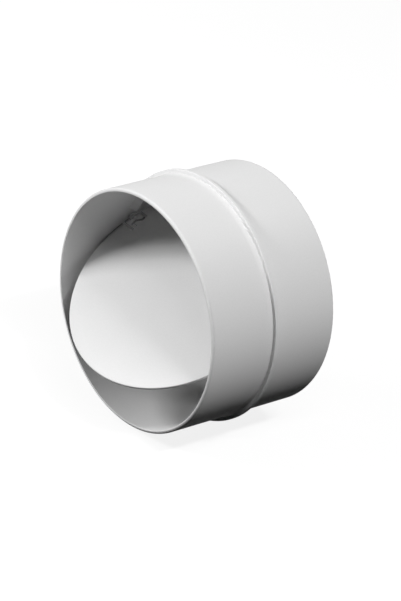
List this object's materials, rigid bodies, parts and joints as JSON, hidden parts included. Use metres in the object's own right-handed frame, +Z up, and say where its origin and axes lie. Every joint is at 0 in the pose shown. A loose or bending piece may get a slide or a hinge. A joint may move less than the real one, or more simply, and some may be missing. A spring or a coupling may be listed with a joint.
{
  "type": "duct connector with backdraft flap",
  "caption": "Round moulded duct connector with a spigot at each end, a raised stop ring between them and a round non-return flap on two side pins inside.",
  "frame": {"origin": "on the tube's axis, in the plane of the stop ring's rear shoulder", "axes": "+Y along the tube towards its rear mouth, the one the flap doesn't open through; +X to the right seen from the front mouth; +Z up, the side the flap's pivot is nearer to"},
  "size_m": [0.1036, 0.0778, 0.1036],
  "materials": {
    "body_plastic": "white moulded plastic, satin",
    "flap_plastic": "white moulded plastic, satin"
  },
  "bodies": {
    "tube": {"connector_body": "body_plastic"},
    "flap": {"flap": "flap_plastic"}
  },
  "joints": [
    {"name": "flap_pivot", "type": "hinge", "parent": "tube", "child": "flap", "pos_m": [0, 0.0011, 0.0127], "axis": [-1, 0, 0], "range_deg": [-53.4, 1.6]}
  ]
}
